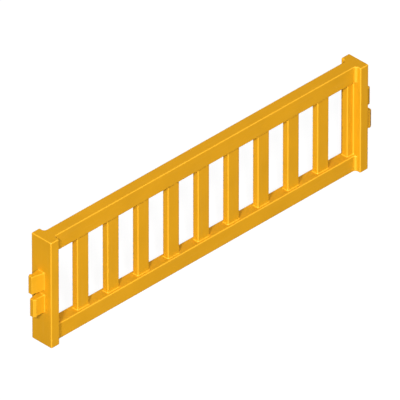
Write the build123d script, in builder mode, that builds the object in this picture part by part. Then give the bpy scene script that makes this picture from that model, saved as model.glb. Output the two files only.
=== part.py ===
from build123d import *
import os

# Crowd control barrier: a long barred panel of yellow plastic between two deep end posts,
# with two snap clips on the outer face of each post for joining it to the next unit.
# Millimetres. X runs along the barrier, the front is at -Y, Z is up.
# The origin is on the ground, in the middle of the barrier.

# ---------------------------------------------------------------- driving dimensions

# Overall
panel_height = 1000.0
panel_length = 3524.0           # between the outer faces of the two posts

# End posts
post_width = 90.0               # along X
post_depth = 219.0              # along Y
post_wall = 6.0
post_floor = 12.0               # thickness of the post's underside
post_inner_round = 3.0          # vertical corners inside the post
edge_round = 10.0               # outside edges of the posts and rails
mouth_rim = 18.0                # width of the rim round the opening under the post

# Rails
rail_depth = 111.0
top_rail_height = 154.0
bottom_rail_height = 148.0
rail_wall = 5.0
rail_inner_round = 4.0

# Joint between post and rail
stub_length = 32.0              # rail end moulded on the post
cove_radius = 27.0              # hollow curve from the rail's face into the post
cove_lip = 1.5                  # flat beside that curve, hidden in the post's face
spigot_length = 60.0            # part of the post that slides inside the rail
spigot_wall = 5.0
slide_clearance = 0.5           # on each side, where one piece slides inside another

# Balusters and end stiles
baluster_count = 9
baluster_width = 126.0
bar_depth = 62.0
bar_wall = 4.0
bar_round = 10.0                # vertical edges
tenon_length = 35.0             # part of a baluster that stands inside a rail
stile_width = 68.0
foot_cove = 8.0                 # hollow curve where a bar meets a rail
stile_cove = 12.0               # hollow curve where a stile meets its post
foot_plate = 1.0                # thickness of the thin plate that the curves run out on
foot_lip = 0.5                  # bare margin of that plate

# Coupling clips, in plan: distance out from the post, and distance from the middle plane
clip_height = 166.0
clip_gap = 42.5                 # between the upper and the lower clip
clip_root = 72.0                # thickness where it leaves the post
clip_reach = 115.5              # out to the blunt end
end_far_side = 11.0             # half-widths of the blunt end, away from the barb
end_barb_side = 26.5            # and on the barb's side
barb_out = 89.0
barb_offset = 40.0
neck_out = 82.0                 # where the neck ends, behind the barb
neck_offset = 31.0
clip_round = 6.0                # outside edges
clip_corner_round = 5.0         # upright corners of the barb and the end
neck_round = 3.0                # corner behind the barb
clip_cove = 8.0                 # hollow curve where the clip meets its thin base plate
clip_plate = 1.5
clip_plate_lip = 0.5

# Clip fastening
bolt_radius = 4.0
bolt_hole_clearance = 0.5       # on the radius
bolt_spacing = 90.0             # in one clip
bolt_reach = 20.0               # of the bolt into the clip
bolt_head_flats = 13.0
bolt_head_height = 5.5
bolt_flange_radius = 8.5
bolt_flange_height = 1.5
insert_radius = 6.0
insert_bore_spare = 2.0         # empty depth beyond the insert
plate_thickness = 4.0
plate_depth = 60.0
plate_margin = 22.0             # of the backing plate beyond its outermost bolts
slot_depth = 30.0               # access slot in the post, along Y
slot_margin = 15.0              # of the slot above and below its two bolts
tongue_reach = 8.0              # of the stile's tongue beyond the post's wall
tongue_wall = 4.0

# Steel tubes inside the rails
tube_height = 40.0
tube_wall = 1.5
tube_outer_round = 3.0
tube_end_gap = 2.0              # between the tube's end and the post's cavity

# Rail screws, driven from the back
screw_radius = 3.0
screw_hole_clearance = 0.3
screw_reach = 22.0
screw_head_radius = 6.5
screw_head_height = 3.5
screw_dome = 1.5                # rounding of the head's rim
screw_socket_flats = 4.0
screw_socket_depth = 2.0

# Foot plugs
plug_bead = 2.0                 # how far the plug's bead stands out above the post's floor
plug_bead_height = 7.0
plug_bead_taper = 20            # degrees, the bead's lead-in
plug_dish = 8.0                 # wall left round the plug's hollow top
plug_base = 7.0
tread_count = 7
tread_width = 4.0
tread_depth = 2.0
drain_radius = 5.0

# ---------------------------------------------------------------- worked-out places

post_outer_x = panel_length / 2
post_inner_x = post_outer_x - post_width
post_middle_x = post_outer_x - post_width / 2
seam_x = post_inner_x - stub_length
spigot_end_x = seam_x - spigot_length
stub_root = 2 * edge_round                  # depth of a stub inside the post
stub_reach = stub_length + stub_root
rail_length = 2 * seam_x

top_rail_z = panel_height - top_rail_height
bar_height = top_rail_z - bottom_rail_height
middle_z = panel_height / 2

foot_reach = foot_cove + foot_lip
stile_x = post_inner_x - stile_width
window_gap = (2 * stile_x - baluster_count * baluster_width) / (baluster_count + 1)
baluster_pitch = baluster_width + window_gap
first_baluster_x = -baluster_pitch * (baluster_count - 1) / 2
baluster_xs = [first_baluster_x + i * baluster_pitch for i in range(baluster_count)]

spigot_depth = rail_depth - 2 * rail_wall - 2 * slide_clearance
tunnel_depth = spigot_depth - 2 * spigot_wall
tunnel_inset = rail_wall + slide_clearance + spigot_wall

clip_middles = {
    "upper": middle_z + clip_gap / 2 + clip_height / 2,
    "lower": middle_z - clip_gap / 2 - clip_height / 2,
}
barb_sides = {"upper": 1, "lower": -1}      # the upper barb is at the back, the lower in front
bolt_zs = [z + s * bolt_spacing / 2 for z in clip_middles.values() for s in (-1, 1)]

tube_depth = tunnel_depth - 2 * slide_clearance
tube_inset = tunnel_inset + slide_clearance + tube_height / 2
tube_zs = {"top": panel_height - tube_inset, "bottom": tube_inset}
second_screw_zs = {"top": top_rail_z + tube_inset, "bottom": bottom_rail_height - tube_inset}
screw_x = seam_x - spigot_length / 2
screw_zs = list(tube_zs.values()) + list(second_screw_zs.values())

rails = {"top": (top_rail_z, top_rail_height), "bottom": (0.0, bottom_rail_height)}

tolerance = 0.01


def finish(built, node):
    """Name one sub-part and write its STEP file."""
    built.part.label = node
    export_step(built.part, f"parts/{node}.step")


def edges_at(built, axis, place):
    """The edges of a sub-part that lie at one place along an axis."""
    return built.edges().filter_by_position(axis, place - tolerance, place + tolerance)


os.makedirs("parts", exist_ok=True)

# ---------------------------------------------------------------- end posts

# Short rail end for the top and the bottom of a post, swept into the post by hollow curves.
# It reaches inside the post, past the rounding of the post's own edges.
stubs = []
for rail_z, rail_height in rails.values():
    with BuildPart() as stub:
        with BuildSketch(Plane.XY.offset(rail_z)) as stub_outline:
            with Locations((seam_x + stub_reach / 2, 0)):
                Rectangle(stub_reach, rail_depth)
            with Locations((post_inner_x + stub_root / 2, 0)):
                Rectangle(stub_root, rail_depth + 2 * cove_radius + 2 * cove_lip)
            inner_corners = stub_outline.vertices().filter_by(
                lambda v: abs(v.X - post_inner_x) < tolerance and abs(v.Y) < rail_depth / 2 + tolerance
            )
            fillet(inner_corners, cove_radius)
        extrude(amount=rail_height)
        swept_edges = [
            edge
            for z in (rail_z, rail_z + rail_height)
            for edge in edges_at(stub, Axis.Z, z)
            if seam_x + tolerance < edge.center().X < post_inner_x + tolerance
        ]
        fillet(swept_edges, edge_round)
    stubs.append(stub.part)

with BuildPart() as right_post:
    # Outer block with every edge rounded.
    with BuildSketch():
        with Locations((post_middle_x, 0)):
            Rectangle(post_width, post_depth)
    extrude(amount=panel_height)
    fillet(right_post.edges(), edge_round)

    # Rail ends moulded on the post, each with a spigot that slides inside the rail.
    for (rail_z, rail_height), stub in zip(rails.values(), stubs):
        add(stub)
        spigot_height = rail_height - 2 * rail_wall - 2 * slide_clearance
        with BuildSketch(Plane.YZ.offset(spigot_end_x)):
            with Locations((0, rail_z + rail_height / 2)):
                RectangleRounded(spigot_depth, spigot_height, rail_inner_round)
        extrude(amount=spigot_length + stub_length)

    # Hollow inside of the post, open underneath for the foot plug.
    with BuildSketch(Plane.XY.offset(post_floor)):
        with Locations((post_middle_x, 0)):
            RectangleRounded(post_width - 2 * post_wall, post_depth - 2 * post_wall, post_inner_round)
    extrude(amount=panel_height - post_floor - post_wall, mode=Mode.SUBTRACT)
    with BuildSketch():
        with Locations((post_middle_x, 0)):
            RectangleRounded(post_width - 2 * mouth_rim, post_depth - 2 * mouth_rim, post_inner_round)
    extrude(amount=post_floor, mode=Mode.SUBTRACT)

    # Tunnel through each spigot and stub into the post.
    for rail_z, rail_height in rails.values():
        with BuildSketch(Plane.YZ.offset(spigot_end_x)):
            with Locations((0, rail_z + rail_height / 2)):
                RectangleRounded(tunnel_depth, rail_height - 2 * tunnel_inset, rail_inner_round)
        extrude(amount=post_inner_x + post_wall + tolerance - spigot_end_x, mode=Mode.SUBTRACT)

    # Access slots towards the rails' side, one behind each clip, and the clip's bolt holes.
    with BuildSketch(Plane.YZ.offset(post_inner_x)):
        with Locations(*[(0, z) for z in clip_middles.values()]):
            RectangleRounded(slot_depth, bolt_spacing + 2 * slot_margin, post_inner_round)
    extrude(amount=post_wall, mode=Mode.SUBTRACT)
    with BuildSketch(Plane.YZ.offset(post_outer_x - post_wall)):
        with Locations(*[(0, z) for z in bolt_zs]):
            Circle(bolt_radius + bolt_hole_clearance)
    extrude(amount=post_wall, mode=Mode.SUBTRACT)

    # Screw holes in the back of the spigots.
    with BuildSketch(Plane.XZ.offset(-spigot_depth / 2)):
        with Locations(*[(screw_x, z) for z in screw_zs]):
            Circle(screw_radius)
    extrude(amount=spigot_wall, mode=Mode.SUBTRACT)
finish(right_post, "right_post")

with BuildPart() as left_post:
    add(right_post.part)
    mirror(about=Plane.YZ, mode=Mode.REPLACE)
finish(left_post, "left_post")

# ---------------------------------------------------------------- rails

for name, (rail_z, rail_height) in rails.items():
    tenon_wall_z = rail_z if name == "top" else rail_height - rail_wall
    with BuildPart() as rail:
        with BuildSketch(Plane.YZ.offset(-seam_x)):
            with Locations((0, rail_z + rail_height / 2)):
                RectangleRounded(rail_depth, rail_height, edge_round)
                RectangleRounded(
                    rail_depth - 2 * rail_wall,
                    rail_height - 2 * rail_wall,
                    rail_inner_round,
                    mode=Mode.SUBTRACT,
                )
        extrude(amount=rail_length)
        # Slots that the balusters stand in.
        with BuildSketch(Plane.XY.offset(tenon_wall_z)):
            with Locations(*[(x, 0) for x in baluster_xs]):
                RectangleRounded(
                    baluster_width + 2 * slide_clearance,
                    bar_depth + 2 * slide_clearance,
                    bar_round,
                )
        extrude(amount=rail_wall, mode=Mode.SUBTRACT)
        # Screw holes in the back.
        with BuildSketch(Plane.XZ.offset(-rail_depth / 2)):
            for z in (tube_zs[name], second_screw_zs[name]):
                with Locations((-screw_x, z), (screw_x, z)):
                    Circle(screw_radius + screw_hole_clearance)
        extrude(amount=rail_wall, mode=Mode.SUBTRACT)
    finish(rail, f"{name}_rail")

for name, tube_z in tube_zs.items():
    with BuildPart() as tube:
        with BuildSketch(Plane.YZ.offset(-post_inner_x + tube_end_gap)):
            with Locations((0, tube_z)):
                RectangleRounded(tube_depth, tube_height, tube_outer_round)
                RectangleRounded(
                    tube_depth - 2 * tube_wall,
                    tube_height - 2 * tube_wall,
                    tube_outer_round - tube_wall,
                    mode=Mode.SUBTRACT,
                )
        extrude(amount=2 * (post_inner_x - tube_end_gap))
        with BuildSketch(Plane.XZ.offset(-tube_depth / 2)):
            with Locations((-screw_x, tube_z), (screw_x, tube_z)):
                Circle(screw_radius)
        extrude(amount=tube_wall, mode=Mode.SUBTRACT)
    finish(tube, f"{name}_rail_steel_tube")

# ---------------------------------------------------------------- balusters

# One hollow bar with a thin foot plate and hollow curve at each rail, and a tenon into each rail.
with BuildPart() as baluster_shape:
    with BuildSketch(Plane.XY.offset(bottom_rail_height - tenon_length)):
        RectangleRounded(baluster_width, bar_depth, bar_round)
    extrude(amount=bar_height + 2 * tenon_length)
    for plate_z in (bottom_rail_height, top_rail_z - foot_plate):
        with BuildSketch(Plane.XY.offset(plate_z)):
            RectangleRounded(
                baluster_width + 2 * foot_reach,
                bar_depth + 2 * foot_reach,
                bar_round + foot_reach,
            )
        extrude(amount=foot_plate)
    foot_edges = [
        edge
        for z in (bottom_rail_height + foot_plate, top_rail_z - foot_plate)
        for edge in edges_at(baluster_shape, Axis.Z, z)
        if abs(edge.center().X) < baluster_width / 2 + tolerance
        and abs(edge.center().Y) < bar_depth / 2 + tolerance
    ]
    fillet(foot_edges, foot_cove)
    with BuildSketch(Plane.XY.offset(bottom_rail_height - tenon_length)):
        RectangleRounded(baluster_width - 2 * bar_wall, bar_depth - 2 * bar_wall, bar_round - bar_wall)
    extrude(amount=bar_height + 2 * tenon_length, mode=Mode.SUBTRACT)

for number, x in enumerate(baluster_xs, start=1):
    with BuildPart() as baluster:
        with Locations((x, 0, 0)):
            add(baluster_shape.part)
    finish(baluster, f"baluster_{number}")

# ---------------------------------------------------------------- end stiles

# Narrow bar beside each post. Its tongues close the post's access slots.
stile_plate_half = bar_depth / 2 + stile_cove + foot_lip
with BuildPart() as right_stile:
    with BuildSketch(Plane.XY.offset(bottom_rail_height)) as stile_outline:
        with Locations((stile_x + stile_width / 2, 0)):
            Rectangle(stile_width, bar_depth)
        with Locations((post_inner_x - foot_plate / 2, 0)):
            Rectangle(foot_plate, 2 * stile_plate_half)
        plate_corners = stile_outline.vertices().filter_by(
            lambda v: abs(v.X - post_inner_x + foot_plate) < tolerance
            and abs(v.Y) < bar_depth / 2 + tolerance
        )
        fillet(plate_corners, stile_cove)
        fillet(stile_outline.vertices().filter_by(lambda v: abs(v.X - stile_x) < tolerance), bar_round)
    extrude(amount=bar_height)
    for plate_z in (bottom_rail_height, top_rail_z - foot_plate):
        with BuildSketch(Plane.XY.offset(plate_z)) as foot_outline:
            with Locations((post_inner_x - (stile_width + foot_reach) / 2, 0)):
                Rectangle(stile_width + foot_reach, bar_depth + 2 * foot_reach)
            fillet(
                foot_outline.vertices().filter_by(lambda v: v.X < stile_x),
                bar_round + foot_reach,
            )
            with Locations((post_inner_x - (foot_plate + stile_cove) / 2, 0)):
                Rectangle(foot_plate + stile_cove, 2 * stile_plate_half)
        extrude(amount=foot_plate)
    stile_foot_edges = [
        edge
        for z in (bottom_rail_height + foot_plate, top_rail_z - foot_plate)
        for edge in edges_at(right_stile, Axis.Z, z)
        if stile_x - tolerance < edge.center().X < post_inner_x - tolerance
        and (
            abs(edge.center().Y) < bar_depth / 2 + tolerance
            or (
                edge.center().X > post_inner_x - foot_plate - stile_cove + tolerance
                and abs(edge.center().Y) < stile_plate_half - tolerance
            )
        )
    ]
    fillet(stile_foot_edges, foot_cove)
    # Hollow inside, open against both rails.
    with BuildSketch(Plane.XY.offset(bottom_rail_height)):
        with Locations((stile_x + stile_width / 2, 0)):
            RectangleRounded(stile_width - 2 * bar_wall, bar_depth - 2 * bar_wall, bar_round - bar_wall)
    extrude(amount=bar_height, mode=Mode.SUBTRACT)
    # Tongues, each a short box open towards the inside of the post.
    with BuildSketch(Plane.YZ.offset(post_inner_x)):
        with Locations(*[(0, z) for z in clip_middles.values()]):
            RectangleRounded(
                slot_depth - 2 * slide_clearance,
                bolt_spacing + 2 * slot_margin - 2 * slide_clearance,
                post_inner_round,
            )
            Rectangle(
                slot_depth - 2 * slide_clearance - 2 * tongue_wall,
                bolt_spacing + 2 * slot_margin - 2 * slide_clearance - 2 * tongue_wall,
                mode=Mode.SUBTRACT,
            )
    extrude(amount=post_wall + tongue_reach)
finish(right_stile, "right_end_stile")

with BuildPart() as left_stile:
    add(right_stile.part)
    mirror(about=Plane.YZ, mode=Mode.REPLACE)
finish(left_stile, "left_end_stile")

# ---------------------------------------------------------------- coupling clips

for level, clip_z in clip_middles.items():
    side = barb_sides[level]
    with BuildPart() as right_clip:
        # Hook: one straight tapering side, a blunt end, and a barb behind the nose on the other side.
        with BuildSketch(Plane.XY.offset(clip_z - clip_height / 2)) as hook_outline:
            with BuildLine():
                Polyline(
                    (post_outer_x, -side * clip_root / 2),
                    (post_outer_x + clip_reach, -side * end_far_side),
                    (post_outer_x + clip_reach, side * end_barb_side),
                    (post_outer_x + barb_out, side * barb_offset),
                    (post_outer_x + neck_out, side * neck_offset),
                    (post_outer_x, side * clip_root / 2),
                    close=True,
                )
            make_face()
            outer_corners = hook_outline.vertices().filter_by(
                lambda v: v.X > post_outer_x + neck_out + tolerance
            )
            fillet(outer_corners, clip_corner_round)
            neck_corner = hook_outline.vertices().filter_by(
                lambda v: abs(v.X - post_outer_x - neck_out) < tolerance
            )
            fillet(neck_corner, neck_round)
        extrude(amount=clip_height)
        rim_edges = [
            edge
            for z in (clip_z - clip_height / 2, clip_z + clip_height / 2)
            for edge in edges_at(right_clip, Axis.Z, z)
            if edge.center().X > post_outer_x + tolerance
        ]
        fillet(rim_edges, clip_round)
        # Thin base plate on the post, with a hollow curve all round the hook's root.
        plate_reach = clip_cove + clip_plate_lip
        with BuildSketch(Plane.YZ.offset(post_outer_x)):
            with Locations((0, clip_z)):
                RectangleRounded(
                    clip_root + 2 * plate_reach,
                    clip_height + 2 * plate_reach,
                    clip_round + plate_reach,
                )
        extrude(amount=clip_plate)
        root_edges = [
            edge
            for edge in edges_at(right_clip, Axis.X, post_outer_x + clip_plate)
            if abs(edge.center().Y) < clip_root / 2 + tolerance
            and abs(edge.center().Z - clip_z) < clip_height / 2 + tolerance
        ]
        fillet(root_edges, clip_cove)
        # Bores for the threaded inserts.
        with BuildSketch(Plane.YZ.offset(post_outer_x)):
            with Locations((0, clip_z - bolt_spacing / 2), (0, clip_z + bolt_spacing / 2)):
                Circle(insert_radius)
        extrude(amount=bolt_reach + insert_bore_spare, mode=Mode.SUBTRACT)
    finish(right_clip, f"right_{level}_clip")
    with BuildPart() as left_clip:
        add(right_clip.part)
        mirror(about=Plane.YZ, mode=Mode.REPLACE)
    finish(left_clip, f"left_{level}_clip")

# Threaded inserts in the clips, at both ends.
with BuildPart() as clip_inserts:
    with BuildSketch(Plane.YZ.offset(post_outer_x)):
        with Locations(*[(0, z) for z in bolt_zs]):
            Circle(insert_radius)
            Circle(bolt_radius, mode=Mode.SUBTRACT)
    extrude(amount=bolt_reach)
    mirror(about=Plane.YZ)
finish(clip_inserts, "clip_inserts")

# Bolts from inside the post, through the backing plate and the post's wall into the inserts.
bolt_seat_x = post_outer_x - post_wall - plate_thickness
bolt_head_x = bolt_seat_x - bolt_flange_height - bolt_head_height
with BuildPart() as clip_bolts:
    with BuildSketch(Plane.YZ.offset(bolt_seat_x)):
        with Locations(*[(0, z) for z in bolt_zs]):
            Circle(bolt_radius)
    extrude(amount=post_wall + plate_thickness + bolt_reach)
    with BuildSketch(Plane.YZ.offset(bolt_seat_x - bolt_flange_height)):
        with Locations(*[(0, z) for z in bolt_zs]):
            Circle(bolt_flange_radius)
    extrude(amount=bolt_flange_height)
    with BuildSketch(Plane.YZ.offset(bolt_head_x)):
        with Locations(*[(0, z) for z in bolt_zs]):
            RegularPolygon(bolt_head_flats / 2, 6, major_radius=False)
    extrude(amount=bolt_head_height)
    mirror(about=Plane.YZ)
finish(clip_bolts, "clip_bolts")

# Steel backing plate inside each post, behind both clips.
with BuildPart() as right_plate:
    with BuildSketch(Plane.YZ.offset(bolt_seat_x)):
        with Locations((0, middle_z)):
            RectangleRounded(plate_depth, max(bolt_zs) - min(bolt_zs) + 2 * plate_margin, post_inner_round)
        with Locations(*[(0, z) for z in bolt_zs]):
            Circle(bolt_radius + bolt_hole_clearance, mode=Mode.SUBTRACT)
    extrude(amount=plate_thickness)
finish(right_plate, "right_backing_plate")

with BuildPart() as left_plate:
    add(right_plate.part)
    mirror(about=Plane.YZ, mode=Mode.REPLACE)
finish(left_plate, "left_backing_plate")

# ---------------------------------------------------------------- rail screws

# Domed screws in the back of the rails, through the spigots and into the steel tubes.
with BuildPart() as rail_screws:
    for x in (-screw_x, screw_x):
        for z in screw_zs:
            with BuildSketch(Plane.XZ.offset(-rail_depth / 2)):
                with Locations((x, z)):
                    Circle(screw_radius)
            extrude(amount=screw_reach)
            with BuildSketch(Plane.XZ.offset(-rail_depth / 2 - screw_head_height)):
                with Locations((x, z)):
                    Circle(screw_head_radius)
            extrude(amount=screw_head_height)
    outer_rims = rail_screws.edges().filter_by(GeomType.CIRCLE).group_by(Axis.Y)[-1]
    fillet(outer_rims, screw_dome)
    with BuildSketch(Plane.XZ.offset(-rail_depth / 2 - screw_head_height)):
        with Locations(*[(s * screw_x, z) for s in (-1, 1) for z in screw_zs]):
            RegularPolygon(screw_socket_flats / 2, 6, major_radius=False)
    extrude(amount=screw_socket_depth, mode=Mode.SUBTRACT)
finish(rail_screws, "rail_screws")

# ---------------------------------------------------------------- foot plugs

# Rubber plug in the opening under each post, level with the post's underside.
plug_width = post_width - 2 * mouth_rim - 2 * slide_clearance
plug_depth = post_depth - 2 * mouth_rim - 2 * slide_clearance
with BuildPart() as right_plug:
    with BuildSketch():
        with Locations((post_middle_x, 0)):
            RectangleRounded(plug_width, plug_depth, post_inner_round)
    extrude(amount=post_floor + plug_bead_height)
    # Bead that snaps over the post's floor, with a lead-in above it.
    with BuildSketch(Plane.XY.offset(post_floor)):
        with Locations((post_middle_x, 0)):
            RectangleRounded(
                plug_width + 2 * plug_bead,
                plug_depth + 2 * plug_bead,
                post_inner_round + plug_bead,
            )
    extrude(amount=plug_bead_height, taper=plug_bead_taper)
    # Hollow top.
    with BuildSketch(Plane.XY.offset(plug_base)):
        with Locations((post_middle_x, 0)):
            RectangleRounded(plug_width - 2 * plug_dish, plug_depth - 2 * plug_dish, post_inner_round)
    extrude(amount=post_floor + plug_bead_height - plug_base, mode=Mode.SUBTRACT)
    # Tread grooves and a drain hole.
    tread_pitch = plug_depth / (tread_count + 1)
    with BuildSketch():
        with Locations((post_middle_x, 0)):
            with GridLocations(0, tread_pitch, 1, tread_count):
                Rectangle(plug_width, tread_width)
    extrude(amount=tread_depth, mode=Mode.SUBTRACT)
    with BuildSketch():
        with Locations((post_middle_x, 0)):
            Circle(drain_radius)
    extrude(amount=plug_base, mode=Mode.SUBTRACT)
finish(right_plug, "right_foot_plug")

with BuildPart() as left_plug:
    add(right_plug.part)
    mirror(about=Plane.YZ, mode=Mode.REPLACE)
finish(left_plug, "left_foot_plug")
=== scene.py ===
import math

import bpy
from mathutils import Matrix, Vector


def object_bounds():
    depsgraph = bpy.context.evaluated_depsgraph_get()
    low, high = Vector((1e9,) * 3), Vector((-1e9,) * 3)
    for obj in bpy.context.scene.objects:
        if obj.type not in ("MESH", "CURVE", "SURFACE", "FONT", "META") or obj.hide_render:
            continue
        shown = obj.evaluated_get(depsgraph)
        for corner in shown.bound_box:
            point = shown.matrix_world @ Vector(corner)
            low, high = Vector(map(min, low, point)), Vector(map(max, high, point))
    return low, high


# Crowd control barrier in yellow moulded plastic: materials, floor, light and camera around
# the CAD frame. Metres. X runs along the barrier, the front is at -Y, Z is up.

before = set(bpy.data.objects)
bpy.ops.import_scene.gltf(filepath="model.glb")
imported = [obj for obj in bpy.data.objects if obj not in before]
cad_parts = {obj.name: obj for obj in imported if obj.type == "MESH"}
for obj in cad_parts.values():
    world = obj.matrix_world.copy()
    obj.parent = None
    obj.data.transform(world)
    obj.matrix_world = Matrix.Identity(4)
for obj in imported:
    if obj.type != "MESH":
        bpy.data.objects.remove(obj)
cad_low, cad_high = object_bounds()
middle = (cad_low + cad_high) / 2

# ---------------------------------------------------------------- camera and light settings

camera_azimuth = -45.0              # degrees
camera_elevation = 34.5
camera_lens = 1700.0                # millimetres, long enough to look like a parallel projection
camera_sensor = 36.0
picture_width = 3.142               # metres across the picture, at the barrier
aim_right = -0.0085                 # the camera's aim beside the barrier's middle, in metres
aim_up = 0.003

key_azimuths = (-59.0, -35.0)       # one lamp on each side of the camera
key_elevation = 33.5
key_distance = 20.0
key_radius = 1.4
key_strength = 29.5                 # of each lamp, the same at every distance

fill_azimuth = 135.0                # low behind the barrier
fill_elevation = 8.0
fill_distance = 14.0
fill_radius = 3.0
fill_strength = 24.0

white = (1.0, 1.0, 1.0, 1.0)
world_strength = 0.16               # of the light that the surroundings cast
backdrop_strength = 1.0             # of the white that the camera sees behind the barrier

floor_size = 600.0
floor_drop = 0.0005                 # below the barrier's feet
floor_colour = (0.12, 0.12, 0.12, 1.0)
floor_glow = 0.93                   # the floor is a light table, and nearly white by itself
floor_roughness = 0.9


# ---------------------------------------------------------------- node helpers

mix_first, mix_second, mix_result = 6, 7, 2     # the colour sockets of a Mix node


class Nodes:
    """Adds nodes to one material and joins them."""

    def __init__(self, name):
        self.material = bpy.data.materials.new(name)
        self.material.use_nodes = True
        self.tree = self.material.node_tree
        self.tree.nodes.clear()
        self.output = self.add("ShaderNodeOutputMaterial")
        self.shader = self.add("ShaderNodeBsdfPrincipled")
        self.join(self.shader, "BSDF", self.output, "Surface")

    def add(self, kind, **values):
        node = self.tree.nodes.new(kind)
        for key, value in values.items():
            setattr(node, key, value)
        return node

    def join(self, source, output, target, socket):
        self.tree.links.new(source.outputs[output], target.inputs[socket])

    def noise(self, scale, detail=4.0, roughness=0.5, stretch=(1.0, 1.0, 1.0)):
        """Noise in the object's own coordinates. scale is in cycles per metre."""
        coordinates = self.add("ShaderNodeTexCoord")
        mapping = self.add("ShaderNodeMapping")
        mapping.inputs["Scale"].default_value = stretch
        noise = self.add("ShaderNodeTexNoise")
        noise.inputs["Scale"].default_value = scale
        noise.inputs["Detail"].default_value = detail
        noise.inputs["Roughness"].default_value = roughness
        self.join(coordinates, "Object", mapping, "Vector")
        self.join(mapping, "Vector", noise, "Vector")
        return noise

    def ramp(self, source, output, stops):
        """A colour ramp fed by a node. stops are (position, colour) pairs."""
        ramp = self.add("ShaderNodeValToRGB")
        elements = ramp.color_ramp.elements
        while len(elements) > 1:
            elements.remove(elements[0])
        elements[0].position, elements[0].color = stops[0]
        for position, colour in stops[1:]:
            elements.new(position).color = colour
        self.join(source, output, ramp, "Fac")
        return ramp

    def span(self, source, output, low, high, start=0.0, end=1.0):
        """Maps a number from start..end to low..high."""
        span = self.add("ShaderNodeMapRange")
        span.inputs["From Min"].default_value = start
        span.inputs["From Max"].default_value = end
        span.inputs["To Min"].default_value = low
        span.inputs["To Max"].default_value = high
        self.join(source, output, span, "Value")
        return span

    def combine(self, operation, first, first_output, second, second_output):
        """A product, maximum or the like of two nodes' numbers."""
        result = self.add("ShaderNodeMath", operation=operation)
        self.join(first, first_output, result, 0)
        self.join(second, second_output, result, 1)
        return result

    def bump(self, source, output, depth, below=None):
        """Surface relief. depth is in metres; below is a bump that this one is added to."""
        bump = self.add("ShaderNodeBump")
        bump.inputs["Strength"].default_value = 1.0
        bump.inputs["Distance"].default_value = depth
        self.join(source, output, bump, "Height")
        if below is not None:
            self.join(below, "Normal", bump, "Normal")
        return bump

    def roundness(self):
        """0 on faces square to the axes, rising to 1 halfway round an edge or a hollow curve."""
        geometry = self.add("ShaderNodeNewGeometry")
        size = self.add("ShaderNodeVectorMath", operation="ABSOLUTE")
        self.join(geometry, "Normal", size, "Vector")
        parts = self.add("ShaderNodeSeparateXYZ")
        self.join(size, "Vector", parts, "Vector")
        larger = self.combine("MAXIMUM", parts, "X", parts, "Y")
        largest = self.combine("MAXIMUM", larger, "Value", parts, "Z")
        return self.span(largest, "Value", 0.0, 1.0, start=1.0, end=math.sqrt(0.5))

    def blend(self, factor, output, first, second):
        """Mixes a node's colour with another colour by a factor."""
        mix = self.add("ShaderNodeMix", data_type="RGBA")
        self.join(factor, output, mix, "Factor")
        made = mix_result if first.bl_idname == "ShaderNodeMix" else "Color"
        self.join(first, made, mix, mix_first)
        mix.inputs[mix_second].default_value = second
        return mix


def shade(colour, amount):
    """A colour made lighter or darker by a factor."""
    return tuple(min(1.0, c * amount) for c in colour[:3]) + (1.0,)


# ---------------------------------------------------------------- materials
# Scales are in cycles per metre, and depths in metres.

noise_low, noise_high = 0.3, 0.7    # a noise's numbers seldom lie outside these

plastic_colour = (0.75, 0.352, 0.006, 1.0)
# painted highlight: a paler colour on rounded edges and coves, with some real wear on the edges
rubbed_and_highlight_colour = (0.93, 0.47, 0.03, 1.0)
scuff_colour = (0.86, 0.50, 0.10, 1.0)
dirt_and_shade_colour = (0.35, 0.14, 0.01, 1.0)

cloud_scale = 3.0
cloud_shades = (0.95, 1.04)         # darkest and lightest patch, as shares of the colour
streak_scale = 9.0
most_streak = 0.10                  # the share of scuff colour in the strongest streak
scuff_scale = 60.0
most_scuff = 0.22
gloss_scale = 24.0
plastic_roughness = (0.46, 0.60)
plastic_specular = 0.3
wave_scale = 7.0
wave_depth = 0.0008
grain_scale = 420.0
grain_depth = 0.0003

tilted_z, level_z = 0.85, 0.99      # dirt and painted shade start, and are fully there, at these heights of a normal
patch_scale = 18.0
patch_amounts = (0.7, 1.3)          # thinnest and thickest dirt and painted shade, as shares of the amount
little_dirt = 0.05                  # rain washes most of it off
shade_and_dirt_between_bars = 0.25               # painted shade on the bottom rail's top face, between the bars and under the top rail, with some dirt


# Faces that look up are painted darker: dirt, and on the bottom rail mostly painted shade.
def settled_dirt_and_shade(nodes, amount):
    """0 on upright faces and the amount, in uneven patches, on faces that look up."""
    geometry = nodes.add("ShaderNodeNewGeometry")
    parts = nodes.add("ShaderNodeSeparateXYZ")
    nodes.join(geometry, "Normal", parts, "Vector")
    level = nodes.span(parts, "Z", 0.0, amount, start=tilted_z, end=level_z)
    clouds = nodes.noise(patch_scale, detail=6.0, roughness=0.6)
    patches = nodes.span(clouds, "Fac", *patch_amounts, start=noise_low, end=noise_high)
    return nodes.combine("MULTIPLY", level, "Result", patches, "Result")


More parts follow.
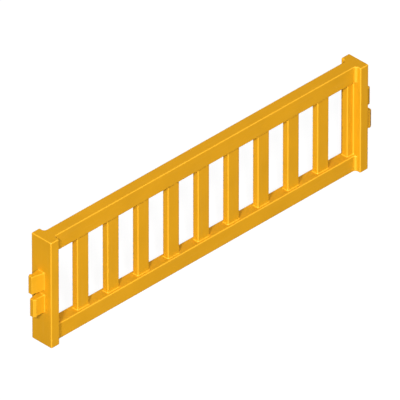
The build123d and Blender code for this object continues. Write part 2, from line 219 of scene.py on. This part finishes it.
def moulded_plastic(name, flow, dirt_and_shade):
    """Satin polyethylene: fine grain, faint flow streaks, light scuffs, dirt settled on top, which
    on the bottom rail is mostly painted shade, and painted highlights on rounded edges and coves.
    """
    nodes = Nodes(name)
    dark, light = (shade(plastic_colour, amount) for amount in cloud_shades)
    cloud = nodes.noise(cloud_scale, detail=3.0)
    tint = nodes.ramp(cloud, "Fac", [(noise_low, dark), (noise_high, light)])
    streaks = nodes.noise(streak_scale, detail=5.0, stretch=flow)
    streak_mask = nodes.span(streaks, "Fac", 0.0, most_streak, start=0.52, end=0.80)
    streaked = nodes.blend(streak_mask, "Result", tint, scuff_colour)
    scuffs = nodes.noise(scuff_scale, detail=8.0, roughness=0.7)
    scuff_mask = nodes.span(scuffs, "Fac", 0.0, most_scuff, start=0.60, end=0.78)
    scuffed = nodes.blend(scuff_mask, "Result", streaked, scuff_colour)
    # faces that look up painted darker: dirt, and painted shade on the bottom rail
    settled_and_shaded = nodes.blend(settled_dirt_and_shade(nodes, dirt_and_shade), "Value", scuffed, dirt_and_shade_colour)
    # rounded edges and coves painted paler: mostly a painted highlight, partly wear on the edges
    rubbed_and_highlighted = nodes.blend(nodes.roundness(), "Result", settled_and_shaded, rubbed_and_highlight_colour)
    nodes.join(rubbed_and_highlighted, mix_result, nodes.shader, "Base Color")

    gloss = nodes.noise(gloss_scale, detail=6.0, roughness=0.6)
    roughness = nodes.span(gloss, "Fac", *plastic_roughness, start=noise_low, end=noise_high)
    nodes.join(roughness, "Result", nodes.shader, "Roughness")
    nodes.shader.inputs["Specular IOR Level"].default_value = plastic_specular

    waves = nodes.noise(wave_scale, detail=2.0)
    wave_bump = nodes.bump(waves, "Fac", wave_depth)
    grain = nodes.noise(grain_scale, detail=5.0, roughness=0.65)
    grain_bump = nodes.bump(grain, "Fac", grain_depth, below=wave_bump)
    nodes.join(grain_bump, "Normal", nodes.shader, "Normal")
    return nodes.material


crystal_scale = 90.0
crystal_depth = 0.00005
dark_zinc_grey = (0.42, 0.44, 0.46, 1.0)
light_zinc_grey = (0.62, 0.64, 0.66, 1.0)
steel_roughness = (0.32, 0.52)


def galvanised_steel(name):
    """Zinc-coated steel with its patchwork of crystals."""
    nodes = Nodes(name)
    coordinates = nodes.add("ShaderNodeTexCoord")
    crystals = nodes.add("ShaderNodeTexVoronoi")
    crystals.inputs["Scale"].default_value = crystal_scale
    nodes.join(coordinates, "Object", crystals, "Vector")
    grey = nodes.ramp(crystals, "Color", [(0.2, dark_zinc_grey), (0.8, light_zinc_grey)])
    nodes.join(grey, "Color", nodes.shader, "Base Color")
    roughness = nodes.span(crystals, "Color", *steel_roughness)
    nodes.join(roughness, "Result", nodes.shader, "Roughness")
    relief = nodes.bump(crystals, "Distance", crystal_depth)
    nodes.join(relief, "Normal", nodes.shader, "Normal")
    nodes.shader.inputs["Metallic"].default_value = 1.0
    return nodes.material


tarnish_scale = 220.0
turning_scale = 900.0
turning_stretch = (6.0, 1.0, 1.0)
turning_depth = 0.00002


def turned_metal(name, dark, light, roughness_low, roughness_high):
    """Plated or plain metal with fine turning marks and slight tarnish."""
    nodes = Nodes(name)
    tarnish = nodes.noise(tarnish_scale, detail=6.0, roughness=0.6)
    tint = nodes.ramp(tarnish, "Fac", [(0.35, dark), (0.65, light)])
    nodes.join(tint, "Color", nodes.shader, "Base Color")
    marks = nodes.noise(turning_scale, detail=3.0, stretch=turning_stretch)
    roughness = nodes.span(
        marks, "Fac", roughness_low, roughness_high, start=noise_low, end=noise_high
    )
    nodes.join(roughness, "Result", nodes.shader, "Roughness")
    relief = nodes.bump(marks, "Fac", turning_depth)
    nodes.join(relief, "Normal", nodes.shader, "Normal")
    nodes.shader.inputs["Metallic"].default_value = 1.0
    return nodes.material


clean_rubber = (0.018, 0.018, 0.019, 1.0)
dusty_rubber = (0.085, 0.080, 0.072, 1.0)
dust_scale = 45.0
rubber_roughness = (0.62, 0.85)
rubber_grain_scale = 700.0
rubber_grain_depth = 0.0001


def moulded_rubber(name):
    """Dull black rubber with a coarse grain and grey dust."""
    nodes = Nodes(name)
    dust = nodes.noise(dust_scale, detail=7.0, roughness=0.65)
    tint = nodes.ramp(dust, "Fac", [(0.40, clean_rubber), (0.75, dusty_rubber)])
    nodes.join(tint, "Color", nodes.shader, "Base Color")
    roughness = nodes.span(dust, "Fac", *rubber_roughness, start=noise_low, end=noise_high)
    nodes.join(roughness, "Result", nodes.shader, "Roughness")
    grain = nodes.noise(rubber_grain_scale, detail=4.0)
    relief = nodes.bump(grain, "Fac", rubber_grain_depth)
    nodes.join(relief, "Normal", nodes.shader, "Normal")
    return nodes.material


along_rail = (0.25, 6.0, 6.0)       # the noise's stretch, so that streaks run along a piece
up_the_piece = (6.0, 6.0, 0.35)

post_plastic = moulded_plastic("post_plastic", up_the_piece, little_dirt)
top_rail_plastic = moulded_plastic("top_rail_plastic", along_rail, little_dirt)
# the bottom rail's top face gets painted shade between the bars
bottom_rail_plastic = moulded_plastic("bottom_rail_plastic", along_rail, shade_and_dirt_between_bars)
bar_plastic = moulded_plastic("bar_plastic", up_the_piece, little_dirt)
clip_plastic = moulded_plastic("clip_plastic", up_the_piece, little_dirt)
steel = galvanised_steel("galvanised_steel")
zinc = turned_metal(
    "zinc_plating", (0.52, 0.53, 0.52, 1.0), (0.70, 0.71, 0.70, 1.0), 0.24, 0.40
)
brass = turned_metal(
    "brass", (0.58, 0.38, 0.12, 1.0), (0.80, 0.56, 0.22, 1.0), 0.26, 0.42
)
rubber = moulded_rubber("black_rubber")

finish_of = {
    "left_post": post_plastic,
    "right_post": post_plastic,
    "top_rail": top_rail_plastic,
    "bottom_rail": bottom_rail_plastic,
    "left_end_stile": bar_plastic,
    "right_end_stile": bar_plastic,
    "left_upper_clip": clip_plastic,
    "left_lower_clip": clip_plastic,
    "right_upper_clip": clip_plastic,
    "right_lower_clip": clip_plastic,
    "top_rail_steel_tube": steel,
    "bottom_rail_steel_tube": steel,
    "left_backing_plate": steel,
    "right_backing_plate": steel,
    "clip_bolts": zinc,
    "rail_screws": zinc,
    "clip_inserts": brass,
    "left_foot_plug": rubber,
    "right_foot_plug": rubber,
}

for name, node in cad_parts.items():
    surface = finish_of.get(name, bar_plastic)      # the balusters aren't listed
    for material_slot in node.material_slots:
        material_slot.material = surface

# ---------------------------------------------------------------- floor, light and camera


def direction_to(azimuth, elevation):
    """Unit vector from the barrier towards a lamp or the camera. The angles are in degrees."""
    a, e = math.radians(azimuth), math.radians(elevation)
    return Vector((math.sin(a) * math.cos(e), -math.cos(a) * math.cos(e), math.sin(e)))


def pale_floor():
    """A plain white light table, far wider than the picture. No light bounces off it."""
    place = (middle.x, middle.y, cad_low.z - floor_drop)
    bpy.ops.mesh.primitive_plane_add(size=floor_size, location=place)
    floor = bpy.context.active_object
    floor.name = "floor"
    nodes = Nodes("pale_floor")
    nodes.shader.inputs["Base Color"].default_value = floor_colour
    nodes.shader.inputs["Roughness"].default_value = floor_roughness
    nodes.shader.inputs["Specular IOR Level"].default_value = 0.0
    nodes.shader.inputs["Emission Color"].default_value = white
    nodes.shader.inputs["Emission Strength"].default_value = floor_glow
    floor.data.materials.append(nodes.material)
    floor.visible_diffuse = False
    floor.visible_glossy = False


def surroundings():
    """Even white surroundings: a bright backdrop, and a weaker light on the barrier."""
    world = bpy.data.worlds.new("studio")
    world.use_nodes = True
    tree = world.node_tree
    background = tree.nodes["Background"]
    background.inputs["Color"].default_value = white
    seen = tree.nodes.new("ShaderNodeLightPath")
    strength = tree.nodes.new("ShaderNodeMapRange")
    strength.inputs["To Min"].default_value = world_strength
    strength.inputs["To Max"].default_value = backdrop_strength
    tree.links.new(seen.outputs["Is Camera Ray"], strength.inputs["Value"])
    tree.links.new(strength.outputs["Result"], background.inputs["Strength"])
    bpy.context.scene.world = world


def soft_lamp(name, azimuth, elevation, distance, radius, strength):
    """A round lamp whose light doesn't fade with distance."""
    lamp = bpy.data.lights.new(name, "POINT")
    lamp.shadow_soft_size = radius
    lamp.energy = 1.0
    lamp.use_nodes = True
    nodes = lamp.node_tree.nodes
    falloff = nodes.new("ShaderNodeLightFalloff")
    falloff.inputs["Strength"].default_value = strength
    lamp.node_tree.links.new(falloff.outputs["Constant"], nodes["Emission"].inputs["Strength"])
    holder = bpy.data.objects.new(name, lamp)
    bpy.context.collection.objects.link(holder)
    holder.location = middle + direction_to(azimuth, elevation) * distance
    return holder


def parallel_camera():
    """A very long lens at the photograph's viewing angle."""
    data = bpy.data.cameras.new("camera")
    data.lens = camera_lens
    data.sensor_width = camera_sensor
    distance = picture_width * camera_lens / camera_sensor
    data.clip_start = distance / 10
    data.clip_end = distance * 10
    camera = bpy.data.objects.new("camera", data)
    bpy.context.collection.objects.link(camera)
    back = direction_to(camera_azimuth, camera_elevation)
    right = Vector((0.0, 0.0, 1.0)).cross(back).normalized()
    up = back.cross(right)
    camera.location = middle + back * distance + right * aim_right + up * aim_up
    camera.rotation_mode = "QUATERNION"
    camera.rotation_quaternion = (-back).to_track_quat("-Z", "Y")
    bpy.context.scene.camera = camera


pale_floor()
surroundings()
for side, azimuth in zip(("left", "right"), key_azimuths):
    lamp_name = f"{side}_key_lamp"
    soft_lamp(lamp_name, azimuth, key_elevation, key_distance, key_radius, key_strength)
fill_lamp = soft_lamp(
    "back_fill_lamp", fill_azimuth, fill_elevation, fill_distance, fill_radius, fill_strength
)
fill_lamp.visible_glossy = False    # no glare on the top faces
parallel_camera()
bpy.context.scene.view_settings.view_transform = "Standard"
